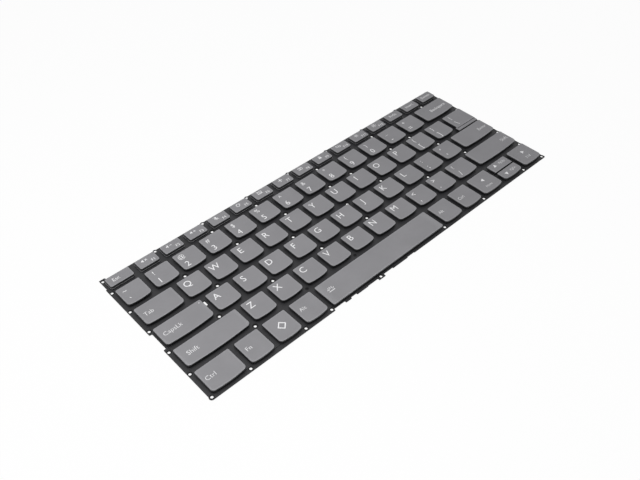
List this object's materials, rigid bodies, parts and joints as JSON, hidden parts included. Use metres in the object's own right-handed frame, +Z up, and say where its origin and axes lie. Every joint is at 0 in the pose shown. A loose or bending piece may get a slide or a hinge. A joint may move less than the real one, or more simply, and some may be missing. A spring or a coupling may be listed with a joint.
{
  "type": "laptop replacement keyboard",
  "caption": "Thin laptop keyboard: black base plate with stake holes, membrane, domes and scissor levers under low grey keycaps with bowed front edges.",
  "frame": {"origin": "middle of the footprint, on the surface the keyboard lies on", "axes": "+X to the right of the typist, +Y to the back row, +Z up out of the keys"},
  "size_m": [0.2802, 0.1076, 0.0037],
  "materials": {
    "keycap": "matt grey moulding",
    "plate": "matt black coat",
    "membrane": "printed film",
    "light_guide": "clear sheet",
    "dome_rubber": "milky silicone",
    "lever": "moulded",
    "bar_steel": "drawn wire"
  },
  "bodies": {
    "base": {"base_plate": "plate", "function_row_keys": "keycap", "light_guide": "light_guide", "membrane": "membrane", "number_row_keys": "keycap", "rubber_domes": "dome_rubber", "scissor_inner_levers": "lever", "scissor_outer_levers": "lever", "stabiliser_bars": "bar_steel"},
    "a": {"key_a": "keycap"},
    "arrow_down": {"key_arrow_down": "keycap"},
    "arrow_left": {"key_arrow_left": "keycap"},
    "arrow_right": {"key_arrow_right": "keycap"},
    "arrow_up": {"key_arrow_up": "keycap"},
    "b": {"key_b": "keycap"},
    "backslash": {"key_backslash": "keycap"},
    "backspace": {"key_backspace": "keycap"},
    "c": {"key_c": "keycap"},
    "caps_lock": {"key_caps_lock": "keycap"},
    "comma": {"key_comma": "keycap"},
    "d": {"key_d": "keycap"},
    "e": {"key_e": "keycap"},
    "enter": {"key_enter": "keycap"},
    "f": {"key_f": "keycap"},
    "fn": {"key_fn": "keycap"},
    "g": {"key_g": "keycap"},
    "h": {"key_h": "keycap"},
    "i": {"key_i": "keycap"},
    "j": {"key_j": "keycap"},
    "k": {"key_k": "keycap"},
    "l": {"key_l": "keycap"},
    "left_alt": {"key_left_alt": "keycap"},
    "left_bracket": {"key_left_bracket": "keycap"},
    "left_ctrl": {"key_left_ctrl": "keycap"},
    "left_shift": {"key_left_shift": "keycap"},
    "m": {"key_m": "keycap"},
    "n": {"key_n": "keycap"},
    "o": {"key_o": "keycap"},
    "p": {"key_p": "keycap"},
    "period": {"key_period": "keycap"},
    "q": {"key_q": "keycap"},
    "quote": {"key_quote": "keycap"},
    "r": {"key_r": "keycap"},
    "right_alt": {"key_right_alt": "keycap"},
    "right_bracket": {"key_right_bracket": "keycap"},
    "right_ctrl": {"key_right_ctrl": "keycap"},
    "right_shift": {"key_right_shift": "keycap"},
    "s": {"key_s": "keycap"},
    "semicolon": {"key_semicolon": "keycap"},
    "slash": {"key_slash": "keycap"},
    "space": {"key_space": "keycap"},
    "super": {"key_super": "keycap"},
    "t": {"key_t": "keycap"},
    "tab": {"key_tab": "keycap"},
    "u": {"key_u": "keycap"},
    "v": {"key_v": "keycap"},
    "w": {"key_w": "keycap"},
    "x": {"key_x": "keycap"},
    "y": {"key_y": "keycap"},
    "z": {"key_z": "keycap"}
  },
  "joints": [
    {"name": "a_travel", "type": "slide", "parent": "base", "child": "a", "axis": [0, 0, -1], "range_m": [0, 0.0012], "stiffness_N_per_m": 300, "springref_m": -0.0008, "deforming": ["rubber_domes", "scissor_inner_levers", "scissor_outer_levers"]},
    {"name": "arrow_down_travel", "type": "slide", "parent": "base", "child": "arrow_down", "axis": [0, 0, -1], "range_m": [0, 0.0012], "stiffness_N_per_m": 300, "springref_m": -0.0008, "deforming": ["rubber_domes", "scissor_inner_levers", "scissor_outer_levers"]},
    {"name": "arrow_left_travel", "type": "slide", "parent": "base", "child": "arrow_left", "axis": [0, 0, -1], "range_m": [0, 0.0012], "stiffness_N_per_m": 300, "springref_m": -0.0008, "deforming": ["rubber_domes", "scissor_inner_levers", "scissor_outer_levers"]},
    {"name": "arrow_right_travel", "type": "slide", "parent": "base", "child": "arrow_right", "axis": [0, 0, -1], "range_m": [0, 0.0012], "stiffness_N_per_m": 300, "springref_m": -0.0008, "deforming": ["rubber_domes", "scissor_inner_levers", "scissor_outer_levers"]},
    {"name": "arrow_up_travel", "type": "slide", "parent": "base", "child": "arrow_up", "axis": [0, 0, -1], "range_m": [0, 0.0012], "stiffness_N_per_m": 300, "springref_m": -0.0008, "deforming": ["rubber_domes", "scissor_inner_levers", "scissor_outer_levers"]},
    {"name": "b_travel", "type": "slide", "parent": "base", "child": "b", "axis": [0, 0, -1], "range_m": [0, 0.0012], "stiffness_N_per_m": 300, "springref_m": -0.0008, "deforming": ["rubber_domes", "scissor_inner_levers", "scissor_outer_levers"]},
    {"name": "backslash_travel", "type": "slide", "parent": "base", "child": "backslash", "axis": [0, 0, -1], "range_m": [0, 0.0012], "stiffness_N_per_m": 300, "springref_m": -0.0008, "deforming": ["rubber_domes", "scissor_inner_levers", "scissor_outer_levers"]},
    {"name": "backspace_travel", "type": "slide", "parent": "base", "child": "backspace", "axis": [0, 0, -1], "range_m": [0, 0.0012], "stiffness_N_per_m": 300, "springref_m": -0.0008, "deforming": ["rubber_domes", "scissor_inner_levers", "scissor_outer_levers", "stabiliser_bars"]},
    {"name": "c_travel", "type": "slide", "parent": "base", "child": "c", "axis": [0, 0, -1], "range_m": [0, 0.0012], "stiffness_N_per_m": 300, "springref_m": -0.0008, "deforming": ["rubber_domes", "scissor_inner_levers", "scissor_outer_levers"]},
    {"name": "caps_lock_travel", "type": "slide", "parent": "base", "child": "caps_lock", "axis": [0, 0, -1], "range_m": [0, 0.0012], "stiffness_N_per_m": 300, "springref_m": -0.0008, "deforming": ["rubber_domes", "scissor_inner_levers", "scissor_outer_levers", "stabiliser_bars"]},
    {"name": "comma_travel", "type": "slide", "parent": "base", "child": "comma", "axis": [0, 0, -1], "range_m": [0, 0.0012], "stiffness_N_per_m": 300, "springref_m": -0.0008, "deforming": ["rubber_domes", "scissor_inner_levers", "scissor_outer_levers"]},
    {"name": "d_travel", "type": "slide", "parent": "base", "child": "d", "axis": [0, 0, -1], "range_m": [0, 0.0012], "stiffness_N_per_m": 300, "springref_m": -0.0008, "deforming": ["rubber_domes", "scissor_inner_levers", "scissor_outer_levers"]},
    {"name": "e_travel", "type": "slide", "parent": "base", "child": "e", "axis": [0, 0, -1], "range_m": [0, 0.0012], "stiffness_N_per_m": 300, "springref_m": -0.0008, "deforming": ["rubber_domes", "scissor_inner_levers", "scissor_outer_levers"]},
    {"name": "enter_travel", "type": "slide", "parent": "base", "child": "enter", "axis": [0, 0, -1], "range_m": [0, 0.0012], "stiffness_N_per_m": 300, "springref_m": -0.0008, "deforming": ["rubber_domes", "scissor_inner_levers", "scissor_outer_levers", "stabiliser_bars"]},
    {"name": "f_travel", "type": "slide", "parent": "base", "child": "f", "axis": [0, 0, -1], "range_m": [0, 0.0012], "stiffness_N_per_m": 300, "springref_m": -0.0008, "deforming": ["rubber_domes", "scissor_inner_levers", "scissor_outer_levers"]},
    {"name": "fn_travel", "type": "slide", "parent": "base", "child": "fn", "axis": [0, 0, -1], "range_m": [0, 0.0012], "stiffness_N_per_m": 300, "springref_m": -0.0008, "deforming": ["rubber_domes", "scissor_inner_levers", "scissor_outer_levers"]},
    {"name": "g_travel", "type": "slide", "parent": "base", "child": "g", "axis": [0, 0, -1], "range_m": [0, 0.0012], "stiffness_N_per_m": 300, "springref_m": -0.0008, "deforming": ["rubber_domes", "scissor_inner_levers", "scissor_outer_levers"]},
    {"name": "h_travel", "type": "slide", "parent": "base", "child": "h", "axis": [0, 0, -1], "range_m": [0, 0.0012], "stiffness_N_per_m": 300, "springref_m": -0.0008, "deforming": ["rubber_domes", "scissor_inner_levers", "scissor_outer_levers"]},
    {"name": "i_travel", "type": "slide", "parent": "base", "child": "i", "axis": [0, 0, -1], "range_m": [0, 0.0012], "stiffness_N_per_m": 300, "springref_m": -0.0008, "deforming": ["rubber_domes", "scissor_inner_levers", "scissor_outer_levers"]},
    {"name": "j_travel", "type": "slide", "parent": "base", "child": "j", "axis": [0, 0, -1], "range_m": [0, 0.0012], "stiffness_N_per_m": 300, "springref_m": -0.0008, "deforming": ["rubber_domes", "scissor_inner_levers", "scissor_outer_levers"]},
    {"name": "k_travel", "type": "slide", "parent": "base", "child": "k", "axis": [0, 0, -1], "range_m": [0, 0.0012], "stiffness_N_per_m": 300, "springref_m": -0.0008, "deforming": ["rubber_domes", "scissor_inner_levers", "scissor_outer_levers"]},
    {"name": "l_travel", "type": "slide", "parent": "base", "child": "l", "axis": [0, 0, -1], "range_m": [0, 0.0012], "stiffness_N_per_m": 300, "springref_m": -0.0008, "deforming": ["rubber_domes", "scissor_inner_levers", "scissor_outer_levers"]},
    {"name": "left_alt_travel", "type": "slide", "parent": "base", "child": "left_alt", "axis": [0, 0, -1], "range_m": [0, 0.0012], "stiffness_N_per_m": 300, "springref_m": -0.0008, "deforming": ["rubber_domes", "scissor_inner_levers", "scissor_outer_levers"]},
    {"name": "left_bracket_travel", "type": "slide", "parent": "base", "child": "left_bracket", "axis": [0, 0, -1], "range_m": [0, 0.0012], "stiffness_N_per_m": 300, "springref_m": -0.0008, "deforming": ["rubber_domes", "scissor_inner_levers", "scissor_outer_levers"]},
    {"name": "left_ctrl_travel", "type": "slide", "parent": "base", "child": "left_ctrl", "axis": [0, 0, -1], "range_m": [0, 0.0012], "stiffness_N_per_m": 300, "springref_m": -0.0008, "deforming": ["rubber_domes", "scissor_inner_levers", "scissor_outer_levers"]},
    {"name": "left_shift_travel", "type": "slide", "parent": "base", "child": "left_shift", "axis": [0, 0, -1], "range_m": [0, 0.0012], "stiffness_N_per_m": 300, "springref_m": -0.0008, "deforming": ["rubber_domes", "scissor_inner_levers", "scissor_outer_levers", "stabiliser_bars"]},
    {"name": "m_travel", "type": "slide", "parent": "base", "child": "m", "axis": [0, 0, -1], "range_m": [0, 0.0012], "stiffness_N_per_m": 300, "springref_m": -0.0008, "deforming": ["rubber_domes", "scissor_inner_levers", "scissor_outer_levers"]},
    {"name": "n_travel", "type": "slide", "parent": "base", "child": "n", "axis": [0, 0, -1], "range_m": [0, 0.0012], "stiffness_N_per_m": 300, "springref_m": -0.0008, "deforming": ["rubber_domes", "scissor_inner_levers", "scissor_outer_levers"]},
    {"name": "o_travel", "type": "slide", "parent": "base", "child": "o", "axis": [0, 0, -1], "range_m": [0, 0.0012], "stiffness_N_per_m": 300, "springref_m": -0.0008, "deforming": ["rubber_domes", "scissor_inner_levers", "scissor_outer_levers"]},
    {"name": "p_travel", "type": "slide", "parent": "base", "child": "p", "axis": [0, 0, -1], "range_m": [0, 0.0012], "stiffness_N_per_m": 300, "springref_m": -0.0008, "deforming": ["rubber_domes", "scissor_inner_levers", "scissor_outer_levers"]},
    {"name": "period_travel", "type": "slide", "parent": "base", "child": "period", "axis": [0, 0, -1], "range_m": [0, 0.0012], "stiffness_N_per_m": 300, "springref_m": -0.0008, "deforming": ["rubber_domes", "scissor_inner_levers", "scissor_outer_levers"]},
    {"name": "q_travel", "type": "slide", "parent": "base", "child": "q", "axis": [0, 0, -1], "range_m": [0, 0.0012], "stiffness_N_per_m": 300, "springref_m": -0.0008, "deforming": ["rubber_domes", "scissor_inner_levers", "scissor_outer_levers"]},
    {"name": "quote_travel", "type": "slide", "parent": "base", "child": "quote", "axis": [0, 0, -1], "range_m": [0, 0.0012], "stiffness_N_per_m": 300, "springref_m": -0.0008, "deforming": ["rubber_domes", "scissor_inner_levers", "scissor_outer_levers"]},
    {"name": "r_travel", "type": "slide", "parent": "base", "child": "r", "axis": [0, 0, -1], "range_m": [0, 0.0012], "stiffness_N_per_m": 300, "springref_m": -0.0008, "deforming": ["rubber_domes", "scissor_inner_levers", "scissor_outer_levers"]},
    {"name": "right_alt_travel", "type": "slide", "parent": "base", "child": "right_alt", "axis": [0, 0, -1], "range_m": [0, 0.0012], "stiffness_N_per_m": 300, "springref_m": -0.0008, "deforming": ["rubber_domes", "scissor_inner_levers", "scissor_outer_levers"]},
    {"name": "right_bracket_travel", "type": "slide", "parent": "base", "child": "right_bracket", "axis": [0, 0, -1], "range_m": [0, 0.0012], "stiffness_N_per_m": 300, "springref_m": -0.0008, "deforming": ["rubber_domes", "scissor_inner_levers", "scissor_outer_levers"]},
    {"name": "right_ctrl_travel", "type": "slide", "parent": "base", "child": "right_ctrl", "axis": [0, 0, -1], "range_m": [0, 0.0012], "stiffness_N_per_m": 300, "springref_m": -0.0008, "deforming": ["rubber_domes", "scissor_inner_levers", "scissor_outer_levers"]},
    {"name": "right_shift_travel", "type": "slide", "parent": "base", "child": "right_shift", "axis": [0, 0, -1], "range_m": [0, 0.0012], "stiffness_N_per_m": 300, "springref_m": -0.0008, "deforming": ["rubber_domes", "scissor_inner_levers", "scissor_outer_levers", "stabiliser_bars"]},
    {"name": "s_travel", "type": "slide", "parent": "base", "child": "s", "axis": [0, 0, -1], "range_m": [0, 0.0012], "stiffness_N_per_m": 300, "springref_m": -0.0008, "deforming": ["rubber_domes", "scissor_inner_levers", "scissor_outer_levers"]},
    {"name": "semicolon_travel", "type": "slide", "parent": "base", "child": "semicolon", "axis": [0, 0, -1], "range_m": [0, 0.0012], "stiffness_N_per_m": 300, "springref_m": -0.0008, "deforming": ["rubber_domes", "scissor_inner_levers", "scissor_outer_levers"]},
    {"name": "slash_travel", "type": "slide", "parent": "base", "child": "slash", "axis": [0, 0, -1], "range_m": [0, 0.0012], "stiffness_N_per_m": 300, "springref_m": -0.0008, "deforming": ["rubber_domes", "scissor_inner_levers", "scissor_outer_levers"]},
    {"name": "space_travel", "type": "slide", "parent": "base", "child": "space", "axis": [0, 0, -1], "range_m": [0, 0.0012], "stiffness_N_per_m": 300, "springref_m": -0.0008, "deforming": ["rubber_domes", "scissor_inner_levers", "scissor_outer_levers", "stabiliser_bars"]},
    {"name": "super_travel", "type": "slide", "parent": "base", "child": "super", "axis": [0, 0, -1], "range_m": [0, 0.0012], "stiffness_N_per_m": 300, "springref_m": -0.0008, "deforming": ["rubber_domes", "scissor_inner_levers", "scissor_outer_levers"]},
    {"name": "t_travel", "type": "slide", "parent": "base", "child": "t", "axis": [0, 0, -1], "range_m": [0, 0.0012], "stiffness_N_per_m": 300, "springref_m": -0.0008, "deforming": ["rubber_domes", "scissor_inner_levers", "scissor_outer_levers"]},
    {"name": "tab_travel", "type": "slide", "parent": "base", "child": "tab", "axis": [0, 0, -1], "range_m": [0, 0.0012], "stiffness_N_per_m": 300, "springref_m": -0.0008, "deforming": ["rubber_domes", "scissor_inner_levers", "scissor_outer_levers"]},
    {"name": "u_travel", "type": "slide", "parent": "base", "child": "u", "axis": [0, 0, -1], "range_m": [0, 0.0012], "stiffness_N_per_m": 300, "springref_m": -0.0008, "deforming": ["rubber_domes", "scissor_inner_levers", "scissor_outer_levers"]},
    {"name": "v_travel", "type": "slide", "parent": "base", "child": "v", "axis": [0, 0, -1], "range_m": [0, 0.0012], "stiffness_N_per_m": 300, "springref_m": -0.0008, "deforming": ["rubber_domes", "scissor_inner_levers", "scissor_outer_levers"]},
    {"name": "w_travel", "type": "slide", "parent": "base", "child": "w", "axis": [0, 0, -1], "range_m": [0, 0.0012], "stiffness_N_per_m": 300, "springref_m": -0.0008, "deforming": ["rubber_domes", "scissor_inner_levers", "scissor_outer_levers"]},
    {"name": "x_travel", "type": "slide", "parent": "base", "child": "x", "axis": [0, 0, -1], "range_m": [0, 0.0012], "stiffness_N_per_m": 300, "springref_m": -0.0008, "deforming": ["rubber_domes", "scissor_inner_levers", "scissor_outer_levers"]},
    {"name": "y_travel", "type": "slide", "parent": "base", "child": "y", "axis": [0, 0, -1], "range_m": [0, 0.0012], "stiffness_N_per_m": 300, "springref_m": -0.0008, "deforming": ["rubber_domes", "scissor_inner_levers", "scissor_outer_levers"]},
    {"name": "z_travel", "type": "slide", "parent": "base", "child": "z", "axis": [0, 0, -1], "range_m": [0, 0.0012], "stiffness_N_per_m": 300, "springref_m": -0.0008, "deforming": ["rubber_domes", "scissor_inner_levers", "scissor_outer_levers"]}
  ]
}
